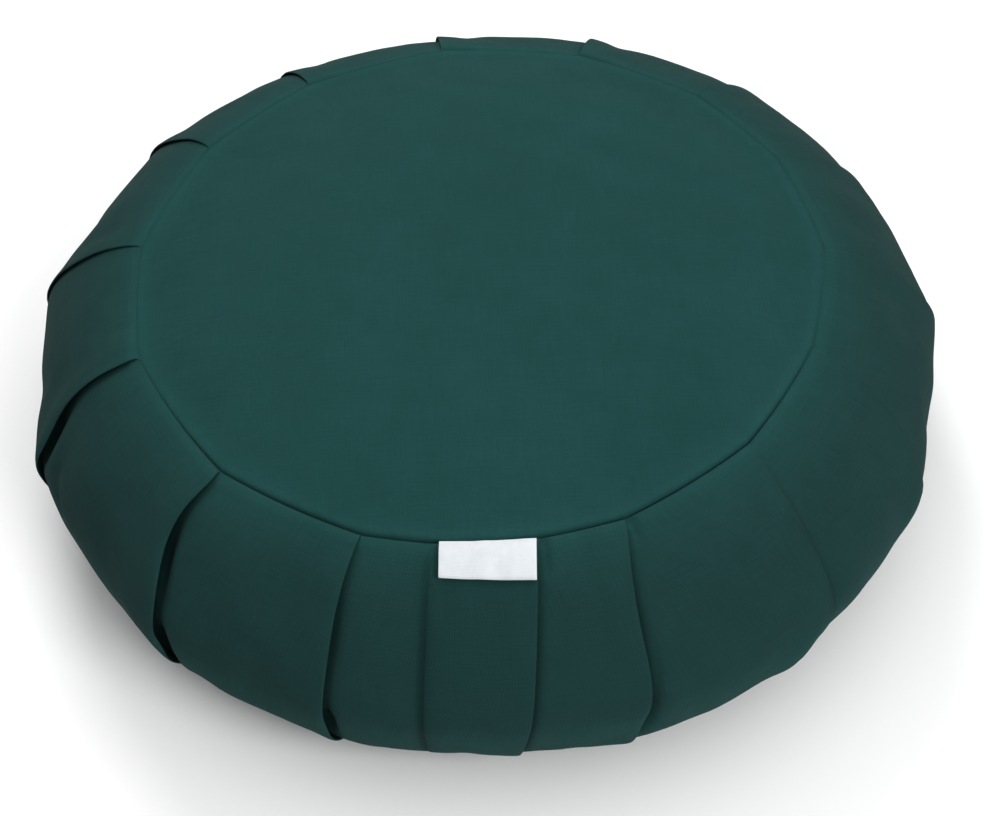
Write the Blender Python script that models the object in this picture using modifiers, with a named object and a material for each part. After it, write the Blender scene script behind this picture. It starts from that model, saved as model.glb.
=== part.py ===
"""Zafu meditation cushion: a low round floor cushion, filled firm, with a pleated side and a small sewn-in label.

Metres, +Z up. The origin is the centre of the flat base, on the floor. Angles in the tables are degrees
from the front (-Y), growing towards the right (+X). A level runs down the side: 0 at the upper seam,
0.5 at the waist, 1 at the lower seam.
"""

import math

import bmesh
import bpy
import numpy as np

# Driving dimensions
WAIST_RADIUS = 0.2010
WAIST_HEIGHT = 0.052
TOP_SEAM_RADIUS = 0.1466
TOP_SEAM_HEIGHT = 0.098
CROWN = 0.010
BASE_SEAM_RADIUS = 0.164
BASE_SEAM_HEIGHT = 0.0035
BASE_RADIUS = 0.156

# The side bulges as two superellipse quarters that meet at the waist
SHOULDER_POWER = 1.5
FOOT_POWER = 2.1
CROWN_POWER = 2.4

# Seams lie in a groove between two rolled cloth edges
SEAM_GROOVE = 0.0022
# Between two pleats the cloth is pulled almost straight: 0 is a straight chord, 1 a full arc
PANEL_BULGE = 0.45

# A fold edge lifts over this width, and the cloth under it falls away over the next
LIP_WIDTH = 0.014
FOOT_WIDTH = 0.007
STEP_DEPTH = 0.0012
UNDERCUT = 0.0012
STITCH_GAP = 0.0006
POCKET_LEVEL = 0.60
POCKET_SPREAD = 0.20

# One row a pleat. "over" says which side's cloth lies on top: -1 the lower angle's, +1 the higher's
PLEAT_COLUMNS = ("seam_deg", "waist_deg", "foot_deg", "over", "lip_mm", "pocket_mm")
PLEAT_ROWS = (
    (-175.0, -175.0, -175.0, -1, 3.0, 1.5),
    (-148.0, -148.0, -147.0, -1, 2.0, 1.0),
    (-123.7, -124.0, -124.0, -1, 2.0, 1.5),
    (-96.6, -97.0, -96.0, -1, 2.2, 2.5),
    (-71.0, -71.0, -72.0, -1, 1.4, 5.0),
    (-43.4, -41.8, -45.0, -1, 2.0, 6.0),
    (-19.0, -19.2, -19.5, -1, 1.2, 3.5),
    (-9.2, -8.6, -9.4, 1, 0.9, 0.8),
    (6.3, 2.4, 1.0, -1, 1.0, 1.5),
    (19.2, 15.6, 11.5, -1, 1.6, 3.5),
    (42.4, 39.8, 37.0, -1, 1.6, 1.5),
    (65.1, 61.5, 59.0, -1, 1.8, 1.0),
    (86.6, 84.0, 84.0, -1, 1.6, 1.5),
    (110.0, 109.0, 109.0, -1, 1.6, 1.0),
    (133.0, 133.0, 132.0, -1, 2.0, 1.0),
    (158.0, 160.0, 160.0, -1, 1.8, 1.0),
)
PLEATS = {name: np.array(column, dtype=float) for name, column in zip(PLEAT_COLUMNS, zip(*PLEAT_ROWS))}
PLEAT_COUNT = len(PLEAT_ROWS)

# Each panel between two pleats has the same columns: three close to either fold, the rest spread evenly
NEAR_FOLD = (0.0, 0.0035, 0.010)
MIDDLE_COLUMNS = 6
PANEL_COLUMNS = 2 * len(NEAR_FOLD) + MIDDLE_COLUMNS
COLUMNS = PLEAT_COUNT * PANEL_COLUMNS

# Rows of the profile
TOP_RINGS = (0.20, 0.46, 0.70, 0.88, 0.988)
SIDE_LEVELS = (0.0, 0.04, 0.11, 0.20, 0.29, 0.38, 0.47, 0.56, 0.65, 0.74, 0.83, 0.92, 1.0)

# The label hangs out of the upper seam on the front panel
LABEL_PANEL = 7
LABEL_FROM_PLEAT = 0.0036
LABEL_WIDTH = 0.0352
LABEL_DROP = 0.0142
LABEL_START_LEVEL = 0.012
LABEL_CLEARANCE = 0.0008
LABEL_LIFT = 0.0014
LABEL_THICKNESS = 0.0010
LABEL_GRID = (12, 6)

FABRIC_COLOUR = (0.016, 0.060, 0.056, 1.0)
FABRIC_ROUGHNESS = 0.88
LABEL_COLOUR = (0.83, 0.84, 0.86, 1.0)
LABEL_ROUGHNESS = 0.45

COLLECTION = "zafu_meditation_cushion"


def clear_scene():
    for item in list(bpy.data.objects):
        bpy.data.objects.remove(item, do_unlink=True)


def material(name, colour, roughness):
    made = bpy.data.materials.new(name)
    made.use_nodes = True
    shader = made.node_tree.nodes["Principled BSDF"]
    shader.inputs["Base Color"].default_value = colour
    shader.inputs["Roughness"].default_value = roughness
    shader.inputs["Metallic"].default_value = 0.0
    return made


def side_profile(level):
    """Radius and height on the side: a flatter quarter curve above the waist, a rounder one below it."""
    turn = np.clip(level, 0.0, 1.0) * math.pi
    upper = level <= 0.5
    power = np.where(upper, SHOULDER_POWER, FOOT_POWER)
    out = np.abs(np.sin(turn)) ** (2.0 / power)
    up = np.sign(np.cos(turn)) * np.abs(np.cos(turn)) ** (2.0 / power)
    seam_radius = np.where(upper, TOP_SEAM_RADIUS, BASE_SEAM_RADIUS)
    rise = np.where(upper, TOP_SEAM_HEIGHT - WAIST_HEIGHT, WAIST_HEIGHT - BASE_SEAM_HEIGHT)
    radius = seam_radius + (WAIST_RADIUS - seam_radius) * out
    return radius, WAIST_HEIGHT + rise * up


def profile_rows():
    """Radius, height, level, gather and folded of every row, from the crown down to the rim of the base.

    Gather is 0 where a ring is plain and round, 1 where its points crowd at the pleats. Folded is 1 on the
    side, whose folds stand proud, and 0 on the flat rounds of cloth above and below it.
    """
    ring = np.array(TOP_RINGS)
    level = np.array(SIDE_LEVELS)
    side_radius, side_height = side_profile(level)
    side_height[0] -= SEAM_GROOVE
    radius = np.concatenate((ring * TOP_SEAM_RADIUS, side_radius, (BASE_RADIUS,)))
    crown = TOP_SEAM_HEIGHT + CROWN * (1.0 - ring**CROWN_POWER)
    height = np.concatenate((crown, side_height, (0.0,)))
    levels = np.concatenate((np.zeros_like(ring), level, (1.0,)))
    gather = np.concatenate((ring**3, np.ones_like(level), (0.9,)))
    folded = np.concatenate((np.zeros_like(ring), np.ones_like(level), (0.0,)))
    return radius, height, levels, gather, folded


def pleat_angles(level):
    """Angle in radians of every pleat line at each level, on a parabola through its three table angles."""
    down = level[:, None]
    at_seam = (1.0 - down) * (1.0 - 2.0 * down) * PLEATS["seam_deg"]
    at_waist = 4.0 * down * (1.0 - down) * PLEATS["waist_deg"]
    at_foot = down * (2.0 * down - 1.0) * PLEATS["foot_deg"]
    return np.radians(at_seam + at_waist + at_foot)


def fold_rise(distance, is_upper, pleat, level):
    """Height of the cloth over the smooth body at a distance from a fold.

    The upper layer rises to a lip at its fold edge. The lower one sinks towards it, deepest in the pocket.
    """
    strength = np.interp(level, (0.0, 0.15, 0.5, 0.8, 1.0), (0.25, 0.65, 1.0, 0.8, 0.0))
    pocket = np.exp(-(((level - POCKET_LEVEL) / POCKET_SPREAD) ** 2)) * PLEATS["pocket_mm"][pleat] / 1000.0
    lip = strength * PLEATS["lip_mm"][pleat] / 1000.0 * np.exp(-((distance / LIP_WIDTH) ** 1.5))
    sink = strength * (STEP_DEPTH + pocket) * np.exp(-distance / FOOT_WIDTH)
    return np.where(is_upper, lip, -sink), strength


def panel_points(panel, across, radius, height, level, corner, folded):
    """Points of one panel at the shares `across` of its width, for rows given by the other arrays.

    Corner scales the pull of the pleats: the section between two of them is a chord with a slight bulge.
    """
    normal = profile_normal(radius, height)
    right = (panel + 1) % PLEAT_COUNT
    angles = pleat_angles(level)
    start = angles[:, panel]
    span = np.mod(angles[:, right] - start, 2.0 * math.pi)
    width = radius * span
    share = across(width)
    from_left = np.maximum(share, 0.0) * width[:, None]
    from_right = np.maximum(1.0 - share, 0.0) * width[:, None]
    levels = level[:, None]
    left_upper = PLEATS["over"][panel] > 0
    right_upper = PLEATS["over"][right] < 0
    left_rise, strength = fold_rise(from_left, left_upper, panel, levels)
    right_rise, _ = fold_rise(from_right, right_upper, right, levels)
    # a lower layer's last column is tucked under the fold edge beside it
    tuck = UNDERCUT * strength - STITCH_GAP * (1.0 - strength)
    shift = np.where(np.isclose(share, 1.0) & (not right_upper), tuck, 0.0)
    shift = shift - np.where(np.isclose(share, 0.0) & (not left_upper), tuck, 0.0)
    angle = start[:, None] + (from_left + shift) / radius[:, None]
    half = span[:, None] / 2.0
    chord = np.cos(half) / np.cos((share - 0.5) * 2.0 * half)
    flat = 1.0 + corner[:, None] * (1.0 - PANEL_BULGE) * (chord - 1.0)
    rise = folded[:, None] * (left_rise + right_rise)
    out = radius[:, None] * flat + rise * normal[0][:, None]
    up = height[:, None] + rise * normal[1][:, None]
    return angle, out, up


def to_world(angle, out, up):
    return np.stack((out * np.sin(angle), -out * np.cos(angle), up), axis=-1)


def column_shares(width):
    """Shares of a panel's width where its columns stand, close together beside the folds."""
    near = np.array(NEAR_FOLD)[None, :] / width[:, None]
    inner = np.linspace(0.0, 1.0, MIDDLE_COLUMNS + 2)[None, 1:-1]
    middle = near[:, -1:] + inner * (1.0 - 2.0 * near[:, -1:])
    return np.concatenate((near, middle, 1.0 - near[:, ::-1]), axis=1)


def profile_normal(radius, height):
    """Unit outward direction of the profile at each row, in radius and height."""
    along_radius = np.gradient(radius)
    along_height = np.gradient(height)
    length = np.hypot(along_radius, along_height)
    return -along_height / length, along_radius / length


def turned_blank(radius, height):
    """The plain round body: the profile turned about Z, still open at the crown and the base."""
    mesh = bpy.data.meshes.new("profile")
    points = [(r, 0.0, z) for r, z in zip(radius, height)]
    mesh.from_pydata(points, [(i, i + 1) for i in range(len(points) - 1)], [])
    profile = bpy.data.objects.new("profile", mesh)
    bpy.context.scene.collection.objects.link(profile)
    screw = profile.modifiers.new("turn", "SCREW")
    screw.angle = 2.0 * math.pi
    screw.steps = COLUMNS
    screw.render_steps = COLUMNS
    screw.use_merge_vertices = False
    evaluated = profile.evaluated_get(bpy.context.evaluated_depsgraph_get())
    blank = bpy.data.meshes.new_from_object(evaluated)
    bpy.data.objects.remove(profile, do_unlink=True)
    return blank


def pleated_points(radius, height, level, gather, folded):
    """Place of every column and row of the cushion, as an array of columns, rows and coordinates."""
    parts = [
        panel_points(panel, column_shares, radius, height, level, gather, folded)
        for panel in range(PLEAT_COUNT)
    ]
    first = pleat_angles(level[:1])[0, 0]
    angle = np.concatenate([part[0] for part in parts], axis=1)
    plain = first + np.arange(COLUMNS) * 2.0 * math.pi / COLUMNS
    drift = np.mod(angle - plain[None, :] + math.pi, 2.0 * math.pi) - math.pi
    angle = plain[None, :] + gather[:, None] * drift
    out = np.concatenate([part[1] for part in parts], axis=1)
    up = np.concatenate([part[2] for part in parts], axis=1)
    up[-1] = 0.0
    return to_world(angle, out, up).transpose(1, 0, 2)


def make_cushion(collection):
    """The filled body: top, pleated side and base in one closed skin."""
    radius, height, level, gather, folded = profile_rows()
    mesh = turned_blank(radius, height)
    mesh.name = "cushion"
    placed = pleated_points(radius, height, level, gather, folded)
    mesh.vertices.foreach_set("co", placed.ravel())
    shell = bmesh.new()
    shell.from_mesh(mesh)
    bmesh.ops.holes_fill(shell, edges=[edge for edge in shell.edges if edge.is_boundary])
    bmesh.ops.recalc_face_normals(shell, faces=shell.faces)
    shell.to_mesh(mesh)
    shell.free()
    mesh.shade_smooth()
    mesh.set_sharp_from_angle(angle=math.radians(40.0))
    mesh.materials.append(material("green_cotton", FABRIC_COLOUR, FABRIC_ROUGHNESS))
    cushion = bpy.data.objects.new("cushion", mesh)
    collection.objects.link(cushion)
    return cushion


def label_points(down, across):
    """Points of the label's back: it follows the front panel from the seam and stands off a little below."""
    fine = np.linspace(0.0, 0.5, 201)
    radius, height = side_profile(fine)
    travel = np.concatenate(((0.0,), np.cumsum(np.hypot(np.diff(radius), np.diff(height)))))
    start = np.interp(LABEL_START_LEVEL, fine, travel)
    level = np.interp(start + down * LABEL_DROP, travel, fine)
    radius, height = side_profile(level)
    normal = profile_normal(radius, height)

    def shares(width):
        return (LABEL_FROM_PLEAT + across[None, :] * LABEL_WIDTH) / width[:, None]

    whole = np.ones_like(level)
    angle, out, up = panel_points(LABEL_PANEL, shares, radius, height, level, whole, whole)
    lift = (LABEL_CLEARANCE + LABEL_LIFT * down)[:, None]
    return to_world(angle, out + lift * normal[0][:, None], up + lift * normal[1][:, None])


def make_label(collection):
    """The label: a small woven rectangle, its upper end caught in the seam."""
    across_steps, down_steps = LABEL_GRID
    sheet = bmesh.new()
    bmesh.ops.create_grid(sheet, x_segments=across_steps, y_segments=down_steps, size=0.5)
    mesh = bpy.data.meshes.new("label")
    sheet.to_mesh(mesh)
    sheet.free()
    flat = np.empty(len(mesh.vertices) * 3)
    mesh.vertices.foreach_get("co", flat)
    flat = flat.reshape(down_steps + 1, across_steps + 1, 3)[::-1]
    placed = label_points(0.5 - flat[:, 0, 1], flat[0, :, 0] + 0.5)
    mesh.vertices.foreach_set("co", placed[::-1].ravel())
    mesh.materials.append(material("label_satin", LABEL_COLOUR, LABEL_ROUGHNESS))
    label = bpy.data.objects.new("label", mesh)
    collection.objects.link(label)
    cloth = label.modifiers.new("cloth", "SOLIDIFY")
    cloth.thickness = LABEL_THICKNESS
    cloth.offset = 1.0
    return label


def main():
    clear_scene()
    collection = bpy.data.collections.new(COLLECTION)
    bpy.context.scene.collection.children.link(collection)
    make_cushion(collection)
    make_label(collection)


main()
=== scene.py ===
# %% [markdown]
# # A pleated zafu, filled firm
#
# A zafu is the round floor cushion that people sit on to meditate. Its cotton cover has three cut pieces:
# a top round, a bottom round, and a long straight band between them. The band is longer than the rounds'
# edges, and the extra length is laid in pleats before it is sewn on. Filled with husks, the pleats open
# over the waist and close again at both seams. A small bare woven label is caught in the upper seam.
#
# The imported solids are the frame: they give the real size and the place of everything below.

# %% Load the frame
import math

import bmesh
import bpy
import numpy as np
from mathutils import Matrix, Vector


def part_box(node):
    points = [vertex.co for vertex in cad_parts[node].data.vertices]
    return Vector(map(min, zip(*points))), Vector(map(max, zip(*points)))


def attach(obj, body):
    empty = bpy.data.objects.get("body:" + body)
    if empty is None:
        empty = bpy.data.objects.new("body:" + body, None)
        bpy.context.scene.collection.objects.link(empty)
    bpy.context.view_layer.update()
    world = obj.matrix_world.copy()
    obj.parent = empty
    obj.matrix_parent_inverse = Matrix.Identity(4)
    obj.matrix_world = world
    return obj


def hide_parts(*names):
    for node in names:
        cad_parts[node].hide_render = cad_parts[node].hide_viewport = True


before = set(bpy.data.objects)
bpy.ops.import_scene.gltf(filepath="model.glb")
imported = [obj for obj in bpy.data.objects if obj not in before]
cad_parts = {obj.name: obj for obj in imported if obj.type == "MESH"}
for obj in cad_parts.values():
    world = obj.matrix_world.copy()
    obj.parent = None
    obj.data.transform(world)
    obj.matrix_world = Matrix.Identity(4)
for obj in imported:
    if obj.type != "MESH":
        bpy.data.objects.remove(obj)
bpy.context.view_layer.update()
scene = bpy.context.scene
low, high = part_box("cushion")
print("cushion solid", [round(1000.0 * (b - a), 1) for a, b in zip(low, high)], "mm")

# %% [markdown]
# ## The camera
#
# A camera could be turned by hand until the view looks right. Here its place is worked out instead: the
# cushion fills a picture of a known width, so a focal length in pixels, a distance, and a tilt and a small
# roll in radians say everything. The two shifts slide the frame a little, as a rising front does on a view
# camera. The origin, in the middle of the base, is what the camera looks at.

# %% Camera
IMAGE_WIDTH = 1000
FOCAL_PIXELS = 1400.0
CAMERA_TILT = 0.87819
CAMERA_ROLL = -0.05547
CAMERA_DISTANCE = 0.67313
CAMERA_SHIFT = (0.01343, -0.00479)

forward = np.array((0.0, math.cos(CAMERA_TILT), -math.sin(CAMERA_TILT)))
level_right = np.array((1.0, 0.0, 0.0))
level_up = np.cross(level_right, forward)
right = math.cos(CAMERA_ROLL) * level_right + math.sin(CAMERA_ROLL) * level_up
up = math.cos(CAMERA_ROLL) * level_up - math.sin(CAMERA_ROLL) * level_right

camera_data = bpy.data.cameras.new("camera")
camera_data.sensor_fit = "HORIZONTAL"
camera_data.lens = FOCAL_PIXELS / IMAGE_WIDTH * camera_data.sensor_width
camera_data.shift_x, camera_data.shift_y = CAMERA_SHIFT
camera = bpy.data.objects.new("camera", camera_data)
placed = np.eye(4)
placed[:3, :3] = np.stack((right, up, -forward), axis=1)
placed[:3, 3] = -forward * CAMERA_DISTANCE
camera.matrix_world = Matrix(placed.tolist())
scene.collection.objects.link(camera)
scene.camera = camera
print("camera at", np.round(placed[:3, 3], 3), "m, lens", round(camera_data.lens, 1), "mm")

# %% [markdown]
# ## Floor and light
#
# Dark cloth asks for a pale floor and large soft lights, or the folds vanish. A single dome of light would
# do, but it flattens the side. Here a very broad panel hangs over the cushion, a second stands behind and a
# weaker one in front to the right. The top is then the brightest, the side falls off towards its waist,
# its foot is lit again by the floor, and the pleats' mouths go dark. A little way out the floor turns into
# the plain pale backdrop, as the curved paper of a studio does, so no horizon shows from any side.

# %% Floor
FLOOR_WIDTH = 8.0
FLOOR_COLOUR = (0.93, 0.93, 0.93, 1.0)
COVE_REACH = (0.36, 0.85)  # where the floor begins to turn into the backdrop, and where it has turned


def node_material(name):
    """A new material, with its node tree and its Principled shader."""
    made = bpy.data.materials.new(name)
    made.use_nodes = True
    return made, made.node_tree, made.node_tree.nodes["Principled BSDF"]


def mesh_piece(name, points, faces):
    """A mesh object at the origin from an array of points and a list of faces."""
    mesh = bpy.data.meshes.new(name)
    mesh.from_pydata(np.asarray(points).tolist(), [], faces)
    mesh.update()
    piece = bpy.data.objects.new(name, mesh)
    scene.collection.objects.link(piece)
    return piece


reach = FLOOR_WIDTH / 2.0
floor_corners = [(-reach, -reach, 0.0), (reach, -reach, 0.0), (reach, reach, 0.0), (-reach, reach, 0.0)]
floor = mesh_piece("floor", floor_corners, [(0, 1, 2, 3)])


def paper_finish():
    """Matt pale paper that turns into the plain backdrop with distance, as a studio's cove does."""
    paper, tree, shader = node_material("pale_paper")
    shader.inputs["Base Color"].default_value = FLOOR_COLOUR
    shader.inputs["Roughness"].default_value = 0.9
    shader.inputs["Specular IOR Level"].default_value = 0.1
    place = tree.nodes.new("ShaderNodeTexCoord")
    away = tree.nodes.new("ShaderNodeVectorMath")
    away.operation = "LENGTH"
    share = tree.nodes.new("ShaderNodeMapRange")
    share.inputs["From Min"].default_value, share.inputs["From Max"].default_value = COVE_REACH
    seen = tree.nodes.new("ShaderNodeLightPath")
    factor = tree.nodes.new("ShaderNodeMath")
    factor.operation = "MULTIPLY"
    glow = tree.nodes.new("ShaderNodeEmission")
    either = tree.nodes.new("ShaderNodeMixShader")
    join = tree.links.new
    join(place.outputs["Object"], away.inputs[0])
    join(away.outputs["Value"], share.inputs["Value"])
    join(share.outputs["Result"], factor.inputs[0])
    join(seen.outputs["Is Camera Ray"], factor.inputs[1])
    join(factor.outputs[0], either.inputs["Fac"])
    join(shader.outputs[0], either.inputs[1])
    join(glow.outputs[0], either.inputs[2])
    join(either.outputs[0], tree.nodes["Material Output"].inputs["Surface"])
    return paper


floor.data.materials.append(paper_finish())
print("floor", FLOOR_WIDTH, "m wide")

# %% Studio light
ROOM_LIGHT = 0.10
BACKDROP = (1.0, 1.0, 1.0, 1.0)
PANELS = (  # name, place, width in metres, power in watts
    ("overhead", (0.0, 0.0, 1.30), 2.40, 20.5),
    ("behind", (-0.30, 1.28, 1.10), 0.80, 16.5),
    ("front_right", (0.90, -1.00, 1.10), 0.80, 15.5),
)


def studio_world():
    """A dim even room light, with a brighter plain backdrop that only the camera sees."""
    world = bpy.data.worlds.new("studio")
    world.use_nodes = True
    nodes, links = world.node_tree.nodes, world.node_tree.links
    room = nodes["Background"]
    room.inputs["Strength"].default_value = ROOM_LIGHT
    backdrop = nodes.new("ShaderNodeBackground")
    backdrop.inputs["Color"].default_value = BACKDROP
    seen = nodes.new("ShaderNodeLightPath")
    either = nodes.new("ShaderNodeMixShader")
    links.new(seen.outputs["Is Camera Ray"], either.inputs["Fac"])
    links.new(room.outputs[0], either.inputs[1])
    links.new(backdrop.outputs[0], either.inputs[2])
    links.new(either.outputs[0], nodes["World Output"].inputs["Surface"])
    return world


def light_panel(name, place, width, power):
    """A round soft light at a place, turned towards the origin."""
    data = bpy.data.lights.new(name, "AREA")
    data.shape = "DISK"
    data.size = width
    data.energy = power
    light = bpy.data.objects.new(name, data)
    light.location = place
    light.rotation_euler = (-Vector(place)).to_track_quat("-Z", "Y").to_euler()
    scene.collection.objects.link(light)


scene.world = studio_world()
for panel in PANELS:
    light_panel(*panel)
scene.view_settings.view_transform = "Standard"
print("lights", [panel[0] for panel in PANELS])

# %% [markdown]
# ## The sewing plan
#
# A maker marks the pleats along the band's edge. Here each is one row of a short table. Its folded edge
# stands at an angle from the front at the upper seam, the waist and the lower seam, and may bow on the
# shoulder. One side's cloth lies over the other's. Four depths say how far the fold lifts, how high the
# step at its edge is, and how deep its mouth gapes on the shoulder and below it. Husks never settle
# evenly, so three more say how far the seam and the body stand out at the pleat, and the panel after it.
# The last says how dark the painted shade is in the crease under the fold and on a pressed fold. Fifteen
# pleats lie one way round and one the other, so the front panel is a box pleat.

# %% Sizes and the pleat table
WAIST_RADIUS = 0.2010
WAIST_HEIGHT = 0.052
TOP_SEAM_RADIUS = 0.1466
TOP_SEAM_HEIGHT = 0.098
CROWN_START = 0.0062
CROWN_POWER = 2.4
BASE_SEAM_RADIUS = 0.164
BASE_SEAM_HEIGHT = 0.0035
SHOULDER_POWER = 1.5
FOOT_POWER = 2.1
SEAM_GROOVE = 0.0022

PLEAT_COLUMNS = (
    "seam_deg", "waist_deg", "foot_deg", "bow_deg", "over",
    "lip_mm", "step_mm", "gape_mm", "pocket_mm", "seam_mm", "line_mm", "panel_mm", "shade",
)
PLEAT_ROWS = (
    (-175.0, -175.0, -175.0, 0.0, -1, 1.9, 0.7, 0.1, 0.4, 0.0, -2.2, 0.6, 0.5),
    (-148.0, -149.8, -148.0, 0.0, -1, 1.1, 0.6, 0.2, 0.4, 0.0, 0.8, 0.4, 0.6),
    (-123.7, -126.6, -125.0, 0.0, -1, 1.0, 0.5, 0.3, 0.6, 0.0, 2.2, -1.0, 0.8),
    (-96.7, -98.7, -96.8, 0.0, -1, 0.8, 0.4, 0.6, 0.7, 0.3, 2.2, -0.6, 0.9),
    (-71.1, -71.0, -72.0, -1.0, -1, 0.8, 1.0, 6.4, 0.2, 0.9, 0.2, 1.0, 1.5),
    (-43.7, -40.9, -44.4, -2.2, -1, 0.6, 1.0, 5.2, 11.0, 1.0, 0.2, 0.2, 1.5),
    (-19.0, -19.2, -19.5, -0.4, -1, 0.5, 0.9, 2.2, 6.6, 0.8, -0.4, 0.4, 1.0),
    (-9.2, -8.6, -9.4, 0.0, 1, 0.1, 0.1, 0.0, 0.0, -0.4, -2.2, 0.0, 0.8),
    (6.6, 2.45, 0.9, 0.0, -1, 0.5, 0.7, 0.3, 0.6, -0.8, -1.6, -0.2, 0.9),
    (19.2, 15.1, 12.6, -0.9, -1, 0.5, 0.7, 1.6, 9.0, 0.0, 1.6, 3.0, 1.0),
    (42.4, 39.2, 37.0, -0.7, -1, 0.4, 0.2, 0.1, 0.2, -1.2, 0.4, 2.0, 0.3),
    (65.1, 59.5, 57.0, 0.0, -1, 0.5, 0.2, 0.1, 0.2, -2.0, -0.2, 0.8, 0.15),
    (87.4, 86.8, 86.4, 0.0, -1, 0.7, 0.3, 0.1, 0.2, -0.2, 0.0, 1.0, 0.1),
    (111.2, 111.0, 111.0, 0.0, -1, 0.8, 0.4, 0.1, 0.3, 0.0, 0.0, 1.2, 0.1),
    (133.0, 133.0, 132.0, 0.0, -1, 0.9, 0.6, 0.3, 0.5, 0.0, 1.7, 0.7, 0.2),
    (158.0, 160.0, 160.0, 0.0, -1, 1.4, 0.9, 0.4, 0.6, 0.0, 0.0, 0.4, 0.4),
)
PLEATS = {name: np.array(column, dtype=float) for name, column in zip(PLEAT_COLUMNS, zip(*PLEAT_ROWS))}
PLEAT_COUNT = len(PLEAT_ROWS)
print(PLEAT_COUNT, "pleats,", int((PLEATS["over"] > 0).sum()), "laid the other way")

# %% [markdown]
# ## The side's outline
#
# Cut through, the side is a soft bulge: it leaves the upper seam almost level, rounds the waist and
# tucks in to the lower seam. A curve could be drawn by hand, but two quarters of a superellipse say the
# same with two powers. A lower power is a leaner shoulder, a higher one a fuller foot. The same formula
# then gives the outward direction and the travel of the cloth, in metres down from the seam.

# %% Side outline
FINE_STEPS = 2001


def side_profile(level):
    """Radius and height at a level, 0 at the upper seam, 0.5 at the waist and 1 at the lower seam.

    The level turns through half a circle. Its sine and cosine, raised to 2 over the power, run out to the
    waist and up or down to the seams.
    """
    turn = np.clip(level, 0.0, 1.0) * math.pi
    upper = level <= 0.5
    power = np.where(upper, SHOULDER_POWER, FOOT_POWER)
    out = np.abs(np.sin(turn)) ** (2.0 / power)
    rise = np.sign(np.cos(turn)) * np.abs(np.cos(turn)) ** (2.0 / power)
    seam_radius = np.where(upper, TOP_SEAM_RADIUS, BASE_SEAM_RADIUS)
    span = np.where(upper, TOP_SEAM_HEIGHT - WAIST_HEIGHT, WAIST_HEIGHT - BASE_SEAM_HEIGHT)
    return seam_radius + (WAIST_RADIUS - seam_radius) * out, WAIST_HEIGHT + span * rise


fine_level = np.linspace(0.0, 1.0, FINE_STEPS)
fine_radius, fine_height = side_profile(fine_level)
fine_gaps = np.hypot(np.diff(fine_radius), np.diff(fine_height))
fine_travel = np.concatenate(((0.0,), np.cumsum(fine_gaps)))
SIDE_LENGTH = fine_travel[-1]
slope = np.stack((np.gradient(fine_radius), np.gradient(fine_height)))
slope /= np.linalg.norm(slope, axis=0)
fine_normal = np.stack((-slope[1], slope[0]))


def on_side(travel):
    """Level, radius, height and outward direction of the side at a travel, read off the fine outline."""
    level = np.interp(travel, fine_travel, fine_level)
    radius = np.interp(travel, fine_travel, fine_radius)
    height = np.interp(travel, fine_travel, fine_height)
    outward = np.stack([np.interp(travel, fine_travel, part) for part in fine_normal])
    return level, radius, height, outward / np.linalg.norm(outward, axis=0)


print("band is", round(1000.0 * SIDE_LENGTH, 1), "mm deep between its seams")

# %% [markdown]
# ## Rows and pleat lines
#
# The band becomes a grid: rows run round it and columns run down it. Rows crowd at both seams, where the
# cloth turns in within a millimetre, and stand about 6 mm apart between. Each pleat's line drifts a
# little on its way down, so its angle at a row is a parabola through its three angles in the table, and
# the bow is added as a bell over the shoulder.

# %% Rows
NEAR_SEAM = np.array((0.0, 0.00015, 0.0006, 0.0014, 0.0030, 0.0058))
MIDDLE_ROWS = 23
BOW_LEVEL, BOW_SPREAD = 0.21, 0.13

middle_travel = np.linspace(NEAR_SEAM[-1], SIDE_LENGTH - NEAR_SEAM[-1], MIDDLE_ROWS + 2)[1:-1]
row_travel = np.concatenate((NEAR_SEAM, middle_travel, SIDE_LENGTH - NEAR_SEAM[::-1]))
row_level, row_radius, row_height, row_outward = on_side(row_travel)
ROWS = len(row_travel)


def smooth(share):
    """A share from 0 to 1, eased at both ends."""
    held = np.clip(share, 0.0, 1.0)
    return held * held * (3.0 - 2.0 * held)


def pleat_angles(level):
    """Angle in radians of every pleat at each level: a parabola through its three angles, plus its bow."""
    down = np.asarray(level)[:, None]
    at_seam = (1.0 - down) * (1.0 - 2.0 * down) * PLEATS["seam_deg"]
    at_waist = 4.0 * down * (1.0 - down) * PLEATS["waist_deg"]
    at_foot = down * (2.0 * down - 1.0) * PLEATS["foot_deg"]
    bow = PLEATS["bow_deg"] * np.exp(-(((down - BOW_LEVEL) / BOW_SPREAD) ** 2))
    return np.radians(at_seam + at_waist + at_foot + bow * smooth(down / BOW_SPREAD))


line_angle = pleat_angles(row_level)
panel_span = np.mod(np.roll(line_angle, -1, axis=1) - line_angle, 2.0 * math.pi)
widest = np.round(np.degrees([panel_span[0].min(), panel_span[0].max()]), 1)
print(ROWS, "rows; panels are", widest[0], "to", widest[1], "degrees wide at the upper seam")

# %% [markdown]
# ## How deep each pleat is
#
# The band is straight cloth, so it is as long at the seam as at the waist. What the waist doesn't need
# lies under in the pleats: a lap is its share of that spare length, halved because it lies double. The
# laps are wide at the small upper seam, narrow at the waist and wider again at the lower seam. Right at
# a seam all the layers are pressed together, so the laps open over the first two millimetres.

# %% Lap widths
BAND_CLOTH = 1.455
CLOSE_OVER = 0.0022

row_lap = (BAND_CLOTH - 2.0 * math.pi * row_radius) / (2.0 * PLEAT_COUNT)
row_open = smooth(row_travel / CLOSE_OVER) * smooth((SIDE_LENGTH - row_travel) / CLOSE_OVER)
print("laps", np.round(1000.0 * row_lap[[0, ROWS // 2, -1]], 1), "mm at the upper seam, waist and foot")

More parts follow.
